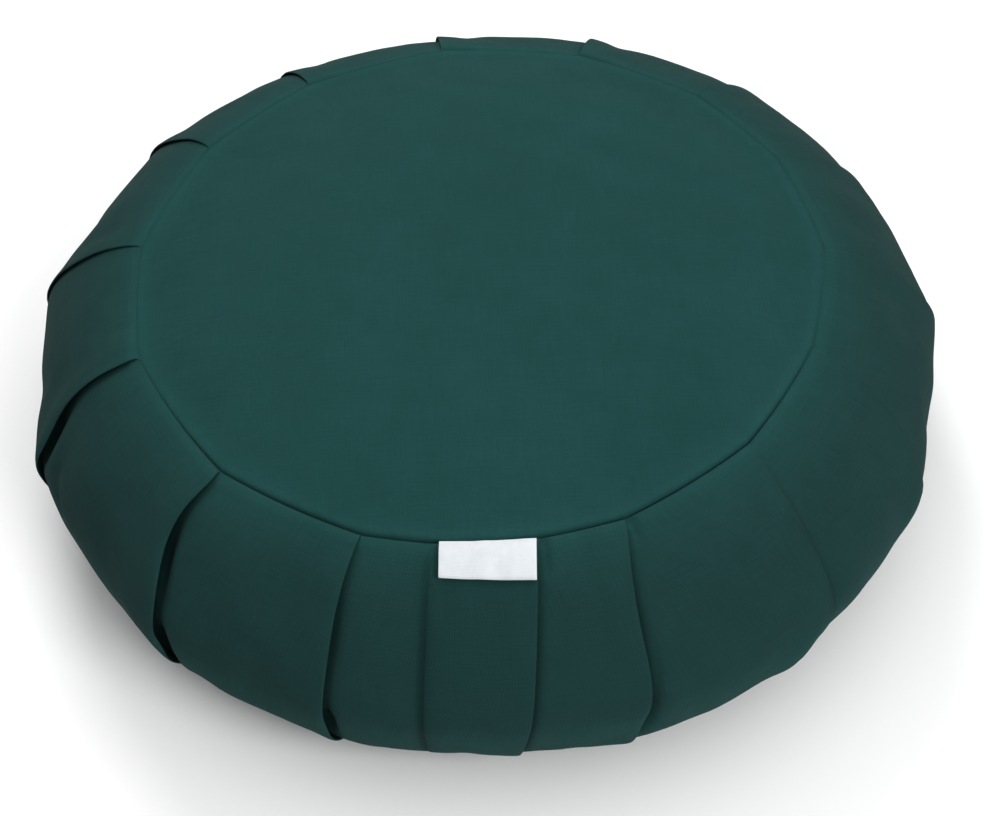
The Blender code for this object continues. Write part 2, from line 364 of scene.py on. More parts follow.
# %% [markdown]
# ## The folded section
#
# Across one pleat the cloth runs along the upper layer to its folded tip, back under it, round an inner
# fold, and out again as the lower layer. Cutting slots in a plain body would only hint at that. Here the
# whole path is modelled, so light really dies in the mouth of the fold. Seventeen columns carry it, one a
# row of this table: the layer, where it stands in mm from the tip, how many laps back, and where it is
# pressed to at a seam.

# %% Section table
UPPER, TIP, MIDDLE, INNER, LOWER = range(5)
SECTION_COLUMNS = ("layer", "offset_mm", "laps", "seam_mm")
SECTION_ROWS = (
    (UPPER, -9.0, 0.0, -9.0),
    (UPPER, -4.0, 0.0, -4.0),
    (UPPER, -1.5, 0.0, -1.6),
    (UPPER, -0.35, 0.0, -0.5),
    (TIP, 0.0, 0.0, 0.0),
    (MIDDLE, -0.35, 0.0, 0.3),
    (MIDDLE, -1.8, 0.0, 0.6),
    (MIDDLE, 0.0, -0.55, 0.9),
    (MIDDLE, 0.0, -1.0, 1.2),
    (INNER, -0.4, -1.0, 1.5),
    (LOWER, 0.0, -1.0, 1.8),
    (LOWER, 0.0, -0.5, 2.1),
    (LOWER, -1.2, 0.0, 2.4),
    (LOWER, 0.8, 0.0, 2.9),
    (LOWER, 2.8, 0.0, 4.0),
    (LOWER, 5.4, 0.0, 6.0),
    (LOWER, 9.0, 0.0, 9.0),
)
SECTION = {name: np.array(column) for name, column in zip(SECTION_COLUMNS, zip(*SECTION_ROWS))}
SECTION_SIZE = len(SECTION_ROWS)
FOLD_REACH = 0.009
SPARE_COLUMNS = 112
COLUMNS = PLEAT_COUNT * SECTION_SIZE + SPARE_COLUMNS


def spread_columns():
    """How many columns each panel gets between its folds: a share of the spare ones by its width."""
    width = panel_span[ROWS // 2] * WAIST_RADIUS - 2.0 * FOLD_REACH
    ends = np.round(SPARE_COLUMNS * np.cumsum(width) / width.sum()).astype(int)
    return np.diff(np.concatenate(((0,), ends)))


panel_columns = spread_columns()
print(COLUMNS, "columns;", panel_columns.min(), "to", panel_columns.max(), "between two folds")

# %% [markdown]
# ## Laying the columns out
#
# Every column belongs either to a pleat's section or to the open cloth of a panel. For each one we keep
# its pleat, its layer and its place, so that whole rows can be worked out at once. A pleat laid the other
# way is the same section, mirrored and read backwards.

# %% Column lists
OPEN = -1


def column_lists():
    """Pleat, layer, offset, laps, seam offset and panel share of every column, in order round the band."""
    parts = []
    for pleat, count in enumerate(panel_columns):
        flip = PLEATS["over"][pleat] > 0
        order = slice(None, None, -1) if flip else slice(None)
        sign = -1.0 if flip else 1.0
        fold = [SECTION[name][order].astype(float) for name in SECTION_COLUMNS]
        fold[1:] = [sign * values for values in fold[1:]]
        fold_rows = np.stack([np.full(SECTION_SIZE, float(pleat)), *fold, np.zeros(SECTION_SIZE)])
        share = np.arange(1, count + 1) / (count + 1.0)
        zero = np.zeros(count)
        own_pleat, open_layer = np.full(count, float(pleat)), np.full(count, float(OPEN))
        parts += [fold_rows, np.stack([own_pleat, open_layer, zero, zero, zero, share])]
    return np.concatenate(parts, axis=1)


lists = column_lists()
column_pleat = lists[0].astype(int)
column_layer = lists[1].astype(int)
column_offset = lists[2] / 1000.0
column_laps = lists[3]
column_pressed = lists[4] / 1000.0
column_share = lists[5]
is_open = column_layer == OPEN
print("columns of open cloth", int(is_open.sum()), "and in folds", int((~is_open).sum()))

# %% [markdown]
# ## Where each column stands
#
# At a row, a fold's column stands at its pleat's line plus its offset and laps. The open columns share
# out the rest of the panel evenly. From that come the panel each point lies in and its distance from the
# pleats on either side, which is all that the shape of the cloth depends on.

# %% Column angles
def column_angles(shift):
    """Angle of every column at every row: pleat line plus arc shift in the folds, even shares between."""
    line = line_angle[:, column_pleat]
    following = line + panel_span[:, column_pleat]
    reach = FOLD_REACH / row_radius[:, None]
    in_panel = line + reach + column_share * (following - line - 2.0 * reach)
    return np.where(is_open, in_panel, line + shift / row_radius[:, None])


folded_place = column_offset + column_laps * row_lap[:, None]
column_shift = column_pressed + row_open[:, None] * (folded_place - column_pressed)
angle = column_angles(column_shift)

before_fold = (~is_open) & (column_shift < 0.0)
panel_of = np.mod(column_pleat - before_fold, PLEAT_COUNT)
span_of = np.take_along_axis(panel_span, panel_of, axis=1)
panel_width = span_of * row_radius[:, None]
from_left = np.where(
    is_open,
    (angle - line_angle[:, column_pleat]) * row_radius[:, None],
    column_shift + before_fold * panel_width,
)
from_right = panel_width - from_left
panel_widths = np.round(1000.0 * np.array((panel_width.min(), panel_width.max())), 1)
print("panels are", panel_widths[0], "to", panel_widths[1], "mm wide")

# %% [markdown]
# ## How high the cloth lies
#
# An upper layer lifts to a soft lip near its folded edge, rolls down again into an open mouth, and
# stands one cloth or two higher where the lap lies under it. A lower layer steps down by the cloth's
# thickness and sinks into the mouth, which gapes on the shoulder and again below the waist, where the
# filling holds the pleat open. All of it fades with distance from the fold.

# %% Heights over the body
LIP_WIDTH, LIP_POWER = 0.014, 1.5
STEP_WIDTH = 0.006
GAPE_WIDTH = (0.0018, 0.30)  # the narrowest bell, and how much wider it gets with its depth
POCKET_WIDTH = (0.0012, 0.30)
ROLL_SHARE, ROLL_WIDTH = 0.30, 0.0024
GAPE_LEVEL, GAPE_LOW_LEVEL, GAPE_SPREAD = 0.26, 0.35, 0.085
POCKET_LEVEL, POCKET_SPREAD = 0.53, 0.085
NO_POCKET = 0.25
CLOTH = 0.0004
LAP_RISE, LAP_EASE = 0.0008, 0.008
LAP_POWER = 1.5
FOLD_LEVELS = (0.0, 0.15, 0.5, 0.8, 1.0)
FOLD_STRENGTHS = (0.35, 0.75, 1.0, 0.5, 0.0)


def level_bell(centre, spread):
    """How strongly something shows at each row: a bell over the levels."""
    return np.exp(-(((row_level - centre) / spread) ** 2))[:, None]


row_strength = np.interp(row_level, FOLD_LEVELS, FOLD_STRENGTHS)[:, None]
row_pocket = level_bell(POCKET_LEVEL, POCKET_SPREAD)


def gape(pleat):
    """Depth of the opening on the shoulder; a pleat with no pocket below gapes a little lower down."""
    low_down = PLEATS["pocket_mm"][pleat] < NO_POCKET * PLEATS["gape_mm"][pleat]
    high, low = level_bell(GAPE_LEVEL, GAPE_SPREAD), level_bell(GAPE_LOW_LEVEL, GAPE_SPREAD)
    return np.where(low_down, low, high) * PLEATS["gape_mm"][pleat] / 1000.0


def pocket(pleat):
    """Depth of the opening below the waist."""
    return row_pocket * PLEATS["pocket_mm"][pleat] / 1000.0


def upper_height(distance, pleat):
    """Lip that fades with the 1.5th power of the distance, plus the rise over the lap, less the roll."""
    away = np.maximum(distance, 0.0)
    lip = row_strength * PLEATS["lip_mm"][pleat] / 1000.0 * np.exp(-((away / LIP_WIDTH) ** LIP_POWER))
    on_lap = smooth((row_lap[:, None] + LAP_EASE / 2.0 - distance) / LAP_EASE)
    roll = ROLL_SHARE * (gape(pleat) + pocket(pleat)) * np.exp(-away / ROLL_WIDTH)
    return lip + LAP_RISE * PLEATS["step_mm"][pleat] * on_lap - roll


def lower_depth(distance, pleat):
    """How far the lower layer lies under the body: a step that fades slowly, and a bell for each opening.

    The deeper an opening is, the wider its bell.
    """
    away = np.maximum(distance, 0.0)
    step = row_strength * PLEATS["step_mm"][pleat] / 1000.0 * np.exp(-away / STEP_WIDTH)
    gape_width = GAPE_WIDTH[0] + GAPE_WIDTH[1] * PLEATS["gape_mm"][pleat] / 1000.0
    pocket_width = POCKET_WIDTH[0] + POCKET_WIDTH[1] * PLEATS["pocket_mm"][pleat] / 1000.0
    opening = gape(pleat) * np.exp(-((away / gape_width) ** 2))
    return step + opening + pocket(pleat) * np.exp(-((away / pocket_width) ** 2))


def beside(distance, pleat, is_upper):
    """Height of open cloth at a distance from a pleat, on its upper or its lower side."""
    return np.where(is_upper, upper_height(distance, pleat), -lower_depth(distance, pleat))


def within_fold(shift, pleat, layer):
    """Height of a fold's own columns, one cloth's thickness or more between its layers."""
    distance = np.abs(shift)
    lap = row_lap[:, None]
    over = upper_height(distance, pleat)
    inner = upper_height(lap, pleat)
    depth = lower_depth(0.0, pleat)
    back = np.clip(distance / lap, 0.0, 1.0) ** LAP_POWER
    hidden = -depth + back * (inner - 4.0 * CLOTH + depth)
    is_under = shift * PLEATS["over"][pleat] > 0.0
    lower = np.where(is_under, hidden, -lower_depth(distance, pleat))
    choices = [layer == UPPER, layer == TIP, layer == MIDDLE, layer == INNER]
    return np.select(choices, [over, over - CLOTH, over - 2.0 * CLOTH, inner - 3.0 * CLOTH], lower)


right_pleat = np.mod(panel_of + 1, PLEAT_COUNT)
left_side = beside(from_left, panel_of, PLEATS["over"][panel_of] > 0)
right_side = beside(from_right, right_pleat, PLEATS["over"][right_pleat] < 0)
own = within_fold(column_shift, column_pleat, column_layer)
other = np.where(before_fold, left_side, right_side)
rise = row_open[:, None] * np.where(is_open, left_side + right_side, own + other)
lowest, highest = np.round(1000.0 * np.array((rise.min(), rise.max())), 1)
print("cloth lies", lowest, "to", highest, "mm off the body")

# %% [markdown]
# ## The body under the cloth
#
# Seen from above, a filled cover isn't quite round: the cloth is pulled nearly straight from pleat to
# pleat and swells a little between. So each row is the straight chord between two pleats, eased part of
# the way back to the round arc. It starts flatter than it will end, because the filling swells it later.
# Where the band meets a round, both turn in to the stitching, deeper in front than behind.

# %% Band surface
SEAM_TURN = 0.00045
SEAM_FACING = math.radians(2.0)
SEAM_SHALLOW = 0.14
SEAM_FADES = (0.22, 0.98)  # cosines of the angle from the front where the deep seam ends and is full
BULGE_LEVELS = (0.0, 0.22, 0.80, 1.0)
FULL_BULGES = (0.50, 0.50, 0.45, 0.60)
SEAM_FADE = 0.22
START_SLACK = 0.12
START_WAIST = 0.0006
START_WAIST_BELL = (0.46, 0.10)


def seam_facing(turn):
    """1 at the front, where the band is pulled down hard, and 0 behind, where it lies level with the top."""
    return smooth((np.cos(turn - SEAM_FACING) - SEAM_FADES[0]) / (SEAM_FADES[1] - SEAM_FADES[0]))


def seam_groove(distance, turn):
    """How deep the cloth turns in: an exponential fall from the seam, over half a millimetre."""
    depth = SEAM_GROOVE * (SEAM_SHALLOW + (1.0 - SEAM_SHALLOW) * seam_facing(turn))
    return depth * np.exp(-distance / SEAM_TURN)


def chord_factor(share, span, bulge):
    """Radius of the eased chord over that of the arc, at a share of a panel's width."""
    chord = np.cos(span / 2.0) / np.cos((share - 0.5) * span)
    return 1.0 + (1.0 - bulge) * (chord - 1.0)


def along_panel(name, share):
    """A column of the table, taken in a straight line from each panel's left pleat to its right one."""
    return (PLEATS[name][panel_of] * (1.0 - share) + PLEATS[name][right_pleat] * share) / 1000.0


def uneven_filling(share):
    """How far the body stands out: from pleat to pleat in a straight line, plus half a sine for the panel."""
    over_panel = PLEATS["panel_mm"][panel_of] / 1000.0 * np.sin(math.pi * share)
    return (along_panel("line_mm", share) + over_panel) * np.sin(math.pi * row_level)[:, None]


def to_world(angle, out, height):
    """Angle from the front, distance from the axis and height, as x, y and z."""
    return np.stack((out * np.sin(angle), -out * np.cos(angle), height), axis=-1)


groove = seam_groove(row_travel[:, None], angle) + seam_groove(SIDE_LENGTH - row_travel[:, None], angle)
panel_share = np.clip(from_left / panel_width, 0.0, 1.0)
row_bulge = np.interp(row_level, BULGE_LEVELS, FULL_BULGES) - START_SLACK * np.sin(math.pi * row_level)
seam_shift = along_panel("seam_mm", panel_share) * smooth(1.0 - row_level / SEAM_FADE)[:, None]
pull = chord_factor(panel_share, span_of, row_bulge[:, None]) + seam_shift / row_radius[:, None]
off_body = rise + uneven_filling(panel_share) - groove + START_WAIST * level_bell(*START_WAIST_BELL)
band_out = row_radius[:, None] * pull + off_body * row_outward[0][:, None]
band_height = row_height[:, None] + off_body * row_outward[1][:, None]
band = to_world(angle, band_out, band_height)
print("band", band.shape[:2], "points")

# %% [markdown]
# ## The two rounds
#
# A fan of triangles meets at one crowded point in the middle, which shows on a crown. A square grid
# pressed into a circle has no such point, so the top round is made that way: each square ring of the
# grid becomes a round one. Its outer ring is the band's first row, point for point, so the seam is
# closed. The bottom is flat and hidden, and plain rings with a closed middle do there.

# %% Top round
DISC_RINGS = COLUMNS // 8
RIM_GATHER = 3.0

inner_rings = np.linspace(TOP_SEAM_RADIUS, NEAR_SEAM[-1], DISC_RINGS - len(NEAR_SEAM) + 2)
ring_inward = np.concatenate((inner_rings[:-1], NEAR_SEAM[::-1]))


def square_to_round(rings):
    """Ring number and turn of every point of a square grid, ring by ring pressed into a circle."""
    side = np.arange(-rings, rings + 1, dtype=float)
    across, along = np.meshgrid(side, side, indexing="ij")
    wide = np.abs(across) > np.abs(along)
    ring = np.maximum(np.abs(across), np.abs(along))
    big = np.where(wide, across, along)
    small = np.where(wide, along, across)
    lean = math.pi / 4.0 * small / np.where(big == 0.0, 1.0, big)
    turn = np.where(wide, lean, math.pi / 2.0 - lean) + math.pi * (big < 0.0)
    return ring.astype(int), np.mod(turn, 2.0 * math.pi)


def top_round():
    """The crown: height falls with the 2.4th power of the radius, and the rim rolls into the seam."""
    ring, turn = square_to_round(DISC_RINGS)
    radius = TOP_SEAM_RADIUS - ring_inward
    column = turn / (2.0 * math.pi) * COLUMNS
    numbers = np.arange(COLUMNS + 1)
    even = angle[0, 0] + numbers * 2.0 * math.pi / COLUMNS
    drift = np.append(angle[0], angle[0, 0] + 2.0 * math.pi) - even
    pulled = np.append(pull[0], pull[0, 0])
    gather = (radius[ring] / TOP_SEAM_RADIUS) ** RIM_GATHER
    turned = angle[0, 0] + turn + gather * np.interp(column, numbers, drift)
    out = radius[ring] * (1.0 + gather * (np.interp(column, numbers, pulled) - 1.0))
    share = radius[ring] / TOP_SEAM_RADIUS
    roll = seam_groove(ring_inward[ring], turned)
    height = TOP_SEAM_HEIGHT + CROWN_START * (1.0 - share**CROWN_POWER) - roll
    return to_world(turned, out, height), np.mod(np.round(column).astype(int), COLUMNS)


top, rim_column = top_round()
print("top round", top.shape[:2], "points, crown at", round(1000.0 * float(top[..., 2].max()), 1), "mm")

# %% Bottom round
BASE_RINGS = (  # radius and height of each ring
    (0.1636, 0.0030), (0.1622, 0.0012), (0.1590, 0.0003), (0.140, 0.0002), (0.060, 0.0002),
)


def bottom_round():
    """Rings inside the lower seam, at the band's last angles, easing from its pulled shape to round."""
    ring = np.array(BASE_RINGS)
    share = (ring[:, :1] / BASE_SEAM_RADIUS) ** RIM_GATHER
    out = ring[:, :1] * (1.0 + share * (pull[-1] - 1.0))
    turned = np.repeat(angle[-1:], len(ring), axis=0)
    return to_world(turned, out, np.repeat(ring[:, 1:], COLUMNS, axis=1))


bottom = bottom_round()
print("bottom round", bottom.shape[:2], "points")

# %% [markdown]
# ## Sewing them together
#
# All points go into one list, and the faces are index arrays over it. The cloth's own coordinates go
# into a UV map in metres: along and across the grain on the rounds, round and down the band. The weave
# then follows the cloth into every fold at its true size.

# %% Cover mesh
band_index = np.arange(ROWS * COLUMNS).reshape(ROWS, COLUMNS)
base_index = band_index[-1, 0] + COLUMNS + np.arange(bottom.shape[0] * COLUMNS).reshape(-1, COLUMNS)
inside = (slice(1, -1), slice(1, -1))
inner_shape = top[inside].shape[:2]
top_index = band_index[0][rim_column]
top_index[inside] = base_index[-1, -1] + 1 + np.arange(inner_shape[0] * inner_shape[1]).reshape(inner_shape)
cover_points = np.concatenate([band.reshape(-1, 3), bottom.reshape(-1, 3), top[inside].reshape(-1, 3)])


def grid_quads(index):
    """The four corners of every cell of an index grid: down, then across, so that faces point out."""
    return np.stack((index[:-1, :-1], index[1:, :-1], index[1:, 1:], index[:-1, 1:]), axis=-1).reshape(-1, 4)


def closed(grid):
    """The grid with its first column repeated at the end."""
    return np.concatenate((grid, grid[:, :1]), axis=1)


side_index = closed(np.concatenate((band_index, base_index)))
side_quads = grid_quads(side_index)
top_quads = grid_quads(top_index)
cover_faces = side_quads.tolist() + top_quads.tolist()
cover = mesh_piece("cushion_cover", cover_points, cover_faces)
print("cover has", len(cover_points), "points and", len(cover_faces), "faces")

# %% [markdown]
# The band's length along the cloth is added up row by row, through all its folds, and scaled to the same
# total. Close to the seams, where the folds are pressed together, the nearest open row is used instead.

# %% Cloth coordinates
def band_cloth():
    """Metres along the band at every point: steps between columns added up, then scaled to one length."""
    steps = np.linalg.norm(np.diff(closed(band), axis=1), axis=-1)
    steps = steps[np.clip(np.arange(ROWS), len(NEAR_SEAM) - 1, ROWS - len(NEAR_SEAM))]
    along = np.concatenate((np.zeros((ROWS, 1)), np.cumsum(steps, axis=1)), axis=1)
    return along * BAND_CLOTH / along[:, -1:]


along = band_cloth()
band_uv = np.stack((along, -np.repeat(row_travel[:, None], COLUMNS + 1, axis=1)), axis=-1)
base_uv = closed(bottom)[..., :2]
join_uv = np.concatenate((closed(band[-1:])[..., :2], base_uv))


def corner_coordinates(grid):
    """The coordinates of a grid, repeated for the four corners of each of its cells."""
    corners = grid_quads(np.arange(grid.shape[0] * grid.shape[1]).reshape(grid.shape[:2]))
    return grid.reshape(-1, 2)[corners].reshape(-1, 2)


top_uv = cover_points[top_quads.ravel(), :2]
cover_uv = np.concatenate([corner_coordinates(band_uv), corner_coordinates(join_uv), top_uv])
cover.data.uv_layers.new(name="cloth").data.foreach_set("uv", cover_uv.ravel())
print("cloth coordinates for", len(cover_uv), "corners")

# %% [markdown]
# ## Filling it
#
# Real panels swell because the husks press on them. Blender's cloth does that with a pressure inside the
# mesh. The cover could be remeshed evenly and simulated whole, but that would melt the thin folds and blow
# them open. So the grid is used as it is: the folds, both seams and the bottom are held, and only the open
# cloth moves, less towards what is held. Its threads may lengthen by 0.4 %, which lets the low crown rise
# to its height. Gravity stays off, each move is eased under a cap, and the result is written into the
# mesh, so that no simulation is left.

# %% Held cloth
HELD_STEPS = 10
OUTER_HOLD = 0.5
SEAM_HOLD_WIDTH = 0.006
HELD_RINGS = 3.0


def over_cover(side, base, rim):
    """One value for every point of the cover: the band's, one for all of the bottom, and the top round's."""
    bottom_values = np.full(bottom.shape[0] * COLUMNS, float(base))
    return np.concatenate([side.ravel(), bottom_values, rim[inside].ravel()])


def held_weights():
    """From 0, free, to 1, held: full at the seams, in the folds and on the bottom, with bells between."""
    outer = np.isclose(np.abs(column_offset), FOLD_REACH)
    by_column = np.select([outer, is_open], [OUTER_HOLD, 0.0], 1.0)
    to_seam = np.minimum(row_travel, SIDE_LENGTH - row_travel)
    by_row = np.exp(-((to_seam / SEAM_HOLD_WIDTH) ** 2))
    from_rim = DISC_RINGS - square_to_round(DISC_RINGS)[0]
    rim = np.exp(-(((from_rim - HELD_RINGS) / HELD_RINGS).clip(0.0) ** 2))
    return over_cover(np.maximum(by_column, by_row[:, None]), 1.0, rim)


def hold_group(piece, weights):
    """A vertex group of the weights, rounded to tenths so that each value is added in one go."""
    group = piece.vertex_groups.new(name="held")
    tenths = np.round(weights * HELD_STEPS).astype(int)
    for step in range(1, HELD_STEPS + 1):
        group.add(np.flatnonzero(tenths == step).tolist(), step / HELD_STEPS, "REPLACE")


holding = held_weights()
print("held points", int((holding > 0.95).sum()), "of", len(holding))

# %% Swelling by cloth simulation
LAST_FRAME = 20
MOVE_CAP = 0.006
SPARE_CLOTH = 0.004
CLOTH_SETTINGS = {
    "use_pressure": True,
    "uniform_pressure_force": 4.0,
    "vertex_group_mass": "held",
    "quality": 4,
    "mass": 0.02,
    "shrink_min": -SPARE_CLOTH,
    "tension_stiffness": 15.0,
    "compression_stiffness": 2.0,
    "shear_stiffness": 2.0,
    "bending_stiffness": 0.1,
}


def read_points(mesh):
    """The mesh's points as an array."""
    values = np.empty(len(mesh.vertices) * 3, dtype=np.float32)
    mesh.vertices.foreach_get("co", values)
    return values.reshape(-1, 3).astype(float)


def write_points(mesh, points):
    """Puts an array of points into the mesh."""
    mesh.vertices.foreach_set("co", points.astype(np.float32).ravel())
    mesh.update()


def swell(piece, weights):
    """Presses the free cloth outwards for a few frames; a tanh keeps each move's length under the cap."""
    start = read_points(piece.data)
    hold_group(piece, weights)
    cloth = piece.modifiers.new("filling", "CLOTH")
    for name, value in CLOTH_SETTINGS.items():
        setattr(cloth.settings, name, value)
    cloth.settings.effector_weights.gravity = 0.0
    cloth.point_cache.frame_end = LAST_FRAME
    for frame_number in range(1, LAST_FRAME + 1):
        scene.frame_set(frame_number)
    evaluated = piece.evaluated_get(bpy.context.evaluated_depsgraph_get())
    move = read_points(evaluated.data) - start
    piece.modifiers.remove(cloth)
    piece.vertex_groups.clear()
    scene.frame_set(1)
    length = np.linalg.norm(move, axis=1, keepdims=True)
    eased = MOVE_CAP * np.tanh(length / MOVE_CAP)
    write_points(piece.data, start + move * eased / np.maximum(length, 1e-9))
    return move


moved = 1000.0 * swell(cover, holding)
far = np.linalg.norm(moved, axis=1)
print("cloth moved", round(float(far.mean()), 2), "mm on average,", round(float(far.max()), 1), "at most")
waist_far = far[: ROWS * COLUMNS].reshape(ROWS, COLUMNS)[ROWS // 2][is_open]
print("waist panels moved", round(float(waist_far.mean()), 2), "mm")
top_up = moved[(ROWS + bottom.shape[0]) * COLUMNS :, 2]
print("top round rose", round(float(top_up.mean()), 2), "mm on average")

# %% [markdown]
# ## Wear on the cloth, painted shade and painted light
#
# Dark cotton first greys with wear: on the folded edges and on the roll beside a seam. Shade is painted into
# the colour too: the crease under a fold, a fold pressed flat and the seam's own line round the front are
# drawn darker, as painted shade. A colour map could be painted by hand, but both follow from where a point
# lies in the cloth. So one number on every point goes from below 0, painted shade, to 1, pale with wear. A
# second number paints light and shade by level: the top round and the side below the waist are painted
# lighter, the shoulder and waist darker. The cotton's material reads both by name.

# %% Wear, painted shade and painted light
# painted light by level: 1 gives the top round and the foot the lighter greens, 0 gives the shoulder and
# waist the darker greens of painted shade
PAINTED_LIGHT_LEVELS = (0.0, 0.04, 0.18, 0.44, 0.54, 1.0)
PAINTED_LIGHT_SHARES = (1.0, 0.8, 0.0, 0.0, 1.0, 1.0)
RUB_TIP, RUB_WIDTH = 0.35, 0.002
PRESSED_STEPS = (0.2, 1.0)  # a fold with a step this low is pressed flat, or this high stands free
# painted shade: how much darker the crease under a fold and the edge of a pressed fold are drawn
CREASE_PAINTED_SHADE, PRESSED_PAINTED_SHADE = 0.9, 0.5
SEAM_PALE, SEAM_ROLL = 0.45, (0.0022, 0.0018)
# painted shade in the seam's line round the front, and its width
SEAM_PAINTED_SHADE, SEAM_LINE = 0.6, 0.0007


def seam_wear_and_shade(distance, turn):
    """A paler roll of wear two millimetres from a seam, and painted shade in the groove itself round the
    front.
    """
    roll = SEAM_PALE * np.exp(-(((distance - SEAM_ROLL[0]) / SEAM_ROLL[1]) ** 2))
    return roll - SEAM_PAINTED_SHADE * seam_facing(turn) * np.exp(-distance / SEAM_LINE)


def rubbed_and_shaded():
    """How pale with wear each point is: most on the tips of the folds and beside the seams.

    It is below 0, painted shade that darkens the colour, in the crease under a fold, on a fold pressed flat
    and in the seam's line round the front.
    """
    tip = np.isin(column_layer, (UPPER, TIP)) * np.exp(-np.abs(column_offset) / RUB_WIDTH)
    under = (column_layer == LOWER) * np.exp(-((column_offset / RUB_WIDTH) ** 2))
    low_step, high_step = PRESSED_STEPS
    lifted = smooth((PLEATS["step_mm"][column_pleat] - low_step) / (high_step - low_step))
    shade = PLEATS["shade"][column_pleat]
    on_tip = RUB_TIP * lifted - PRESSED_PAINTED_SHADE * shade * (1.0 - lifted)
    by_column = tip * on_tip - CREASE_PAINTED_SHADE * shade * under
    along_rows = np.sqrt(np.sin(np.clip(row_travel / SIDE_LENGTH, 0.0, 1.0) * math.pi))
    side = by_column * along_rows[:, None] + seam_wear_and_shade(row_travel[:, None], angle)
    ring = square_to_round(DISC_RINGS)[0]
    return over_cover(side, 0.0, seam_wear_and_shade(ring_inward[ring], np.arctan2(top[..., 0], -top[..., 1])))


def painted_light_share():
    """How much painted light each point gets: full on the top round and below the waist, none on the
    shoulder, which stays painted darker.
    """
    side = np.repeat(np.interp(row_level, PAINTED_LIGHT_LEVELS, PAINTED_LIGHT_SHARES)[:, None], COLUMNS, axis=1)
    return over_cover(side, PAINTED_LIGHT_SHARES[-1], np.ones(top.shape[:2]))


for name, values in (("rub_and_shade", rubbed_and_shaded()), ("painted_light", painted_light_share())):
    cover.data.attributes.new(name, "FLOAT", "POINT").data.foreach_set("value", values)
    print(name, "above 0.3 on", int((values > 0.3).sum()), "points")

# %% [markdown]
# ## Smooth and close
#
# One subdivision rounds the folds and the seam's roll. It is applied here, so that finer work can follow
# on the dense mesh. The bottom's open middle is closed after that, as one flat face: a point where
# hundreds of edges meet takes a subdivision minutes, and a flat face needs none.

# %% Smooth finish
def apply_modifiers(piece):
    """Replaces the piece's mesh by what its modifiers make of it, and removes them."""
    evaluated = piece.evaluated_get(bpy.context.evaluated_depsgraph_get())
    old = piece.data
    piece.data = bpy.data.meshes.new_from_object(evaluated)
    piece.data.name = piece.name
    piece.modifiers.clear()
    bpy.data.meshes.remove(old)


def close_bottom(piece):
    """Fills the open ring of the bottom with one face, its cloth coordinates read off its place."""
    shell = bmesh.new()
    shell.from_mesh(piece.data)
    filled = bmesh.ops.holes_fill(shell, edges=[edge for edge in shell.edges if edge.is_boundary])["faces"]
    cloth = shell.loops.layers.uv["cloth"]
    for corner in filled[0].loops:
        corner[cloth].uv = corner.vert.co.xy
    shell.normal_update()
    print("bottom closed, its middle faces", "down" if filled[0].normal.z < 0.0 else "up")
    shell.to_mesh(piece.data)
    shell.free()


subdivision = cover.modifiers.new("finish", "SUBSURF")
subdivision.levels = 1
subdivision.render_levels = 1
apply_modifiers(cover)
close_bottom(cover)
cover.data.shade_smooth()
print("cover now has", len(cover.data.polygons), "faces")

# %% [markdown]
# ## Creases and uneven cloth
#
# A few things are too small or too particular for the simulation: the slack by some pleats' mouths, a
# panel or two that swells more than its neighbours, the puckers where the band is gathered into the seam,
# and the slight lumps of the filling. They could be sculpted by hand. Here each is a small move of the
# dense mesh along the body's outward direction, worked out from where a point is: its angle, and its
# level read back from its radius and height.

# %% Where a point is on the side
def side_place(points):
    """Angle from the front, level, travel from the seam, outward direction and radius of every point.

    The level undoes the outline's formula: out and up, raised to half the power, are sine and cosine.
    """
    turn = np.arctan2(points[:, 0], -points[:, 1])
    radius = np.hypot(points[:, 0], points[:, 1])
    above = points[:, 2] >= WAIST_HEIGHT
    power = np.where(above, SHOULDER_POWER, FOOT_POWER) / 2.0
    seam_radius = np.where(above, TOP_SEAM_RADIUS, BASE_SEAM_RADIUS)
    drop = np.where(above, TOP_SEAM_HEIGHT - WAIST_HEIGHT, WAIST_HEIGHT - BASE_SEAM_HEIGHT)
    out = np.clip((radius - seam_radius) / (WAIST_RADIUS - seam_radius), 0.0, None) ** power
    off_waist = np.clip(np.abs(points[:, 2] - WAIST_HEIGHT) / drop, 0.0, None) ** power
    lean = np.arctan2(out, off_waist) / math.pi
    level = np.where(above, lean, 1.0 - lean)
    travel = np.interp(level, fine_level, fine_travel)
    outward_out, outward_up = [np.interp(travel, fine_travel, part) for part in fine_normal]
    outward = np.stack((outward_out * np.sin(turn), -outward_out * np.cos(turn), outward_up), axis=-1)
    return turn, level, travel, outward, radius


points = read_points(cover.data)
turn, level, travel, outward, radius = side_place(points)
print("levels read back from", round(float(level.min()), 2), "to", round(float(level.max()), 2))

# %% Creases
CREASE_REACH, CREASE_EASE = 0.35, 0.50  # how far past its ends a crease runs, and how softly it ends
CREASE_ROWS = (  # angle and level it runs from and to, depth and width in mm; a depth below 0 swells
    (-66.8, 0.34, -64.0, 0.50, 1.6, 4.0),
    (-68.0, 0.22, -63.0, 0.40, 0.5, 7.0),
    (-33.0, 0.30, -36.5, 0.62, 0.5, 8.0),
    (-9.2, 0.08, -8.8, 0.60, 0.5, 3.2),
    (27.0, 0.35, 22.0, 0.62, 0.5, 9.0),
    (6.9, 0.02, 6.6, 0.10, 2.0, 1.7),
    (19.7, 0.02, 19.4, 0.08, 2.0, 1.9),
    (17.0, 0.30, 15.7, 0.46, 1.0, 1.6),
    (41.6, 0.22, 39.4, 0.46, 1.1, 5.0),
    (34.6, 0.52, 34.4, 0.80, -2.6, 10.0),
    (57.4, 0.42, 56.8, 0.64, -1.6, 9.0),
)


